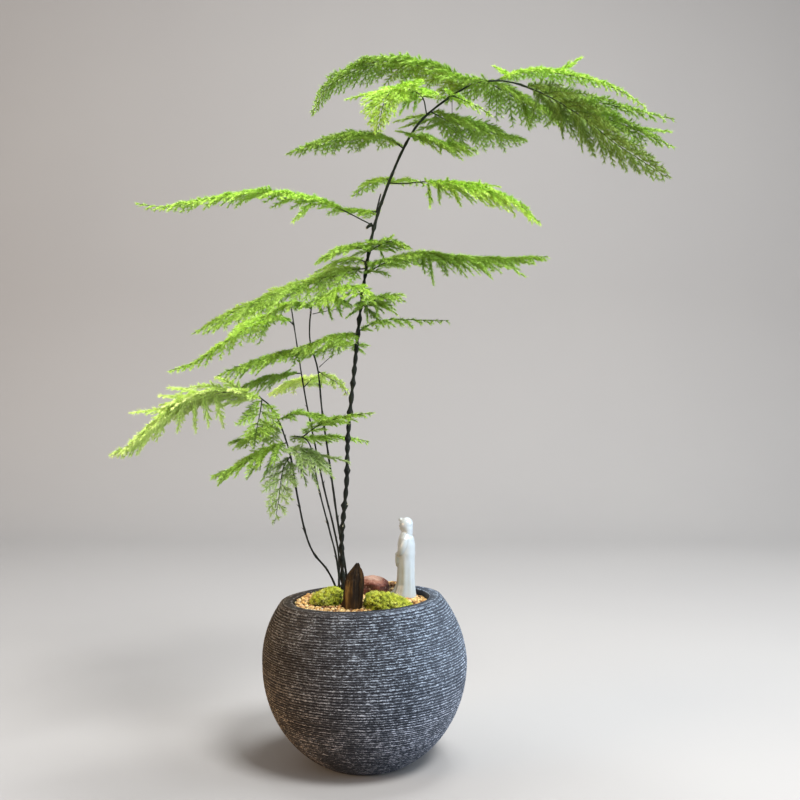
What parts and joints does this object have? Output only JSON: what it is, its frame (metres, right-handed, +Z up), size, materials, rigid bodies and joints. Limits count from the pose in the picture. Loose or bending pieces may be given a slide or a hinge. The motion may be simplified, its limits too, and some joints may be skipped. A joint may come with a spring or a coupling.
{
  "type": "potted lace fern",
  "caption": "Tall arching lace fern with flat lacy sprays of needles on dark twining stems, in a grooved ball pot with gravel, moss, driftwood, a stone and a small robed figure.",
  "frame": {"origin": "centre of the pot's flat foot, on the surface it stands on", "axes": "+Z up along the pot's axis, -Y towards the viewer of the reference picture, +X to the viewer's right; the crown leans to +X"},
  "size_m": [0.3694, 0.1451, 0.4834],
  "materials": {
    "pot": "rough combed stoneware, dark slate blue-grey with pale dry-brushed ridges",
    "soil": "dark crumbly potting soil",
    "gravel": "small tan and yellow pebbles",
    "moss": "soft yellow-green cushion",
    "driftwood": "dark weathered grain",
    "stone": "dull red-brown",
    "porcelain": "white glaze",
    "stem": "near-black green, wiry",
    "needles": "fresh green, fine needles"
  },
  "bodies": {
    "root": {"pot": "pot", "soil": "soil", "gravel": "gravel", "moss_left": "moss", "moss_right": "moss", "driftwood": "driftwood", "red_stone": "stone", "figurine": "porcelain", "stem_arch": "stem", "stem_left": "stem", "stem_main": "stem", "stem_mid": "stem", "stem_slim": "stem", "frond_arch_back": "needles", "frond_arch_right": "needles", "frond_cascade_left": "needles", "frond_cascade_low": "needles", "frond_cascade_mid": "needles", "frond_cascade_right": "needles", "frond_crown_ahead": "needles", "frond_crown_far": "needles", "frond_crown_left": "needles", "frond_crown_right": "needles", "frond_crown_small": "needles", "frond_crown_under": "needles", "frond_crown_upper": "needles", "frond_high_back": "needles", "frond_high_front": "needles", "frond_high_small": "needles", "frond_lantern": "needles", "frond_left_high": "needles", "frond_left_long": "needles", "frond_left_low": "needles", "frond_left_right": "needles", "frond_left_under": "needles", "frond_low_front": "needles", "frond_low_left": "needles", "frond_mid_crown": "needles", "frond_mid_left": "needles", "frond_mid_low": "needles", "frond_mid_right": "needles", "frond_mid_top": "needles", "frond_nest_back": "needles", "frond_nest_left": "needles", "frond_nest_low": "needles", "frond_nest_mid": "needles", "frond_nest_right": "needles", "frond_right_high": "needles", "frond_right_mid": "needles", "frond_right_needle": "needles", "frond_right_small": "needles", "frond_shade_left": "needles", "frond_shade_low": "needles", "frond_shade_right": "needles", "frond_slim_left": "needles", "frond_slim_low": "needles", "frond_slim_top": "needles"}
  },
  "joints": []
}
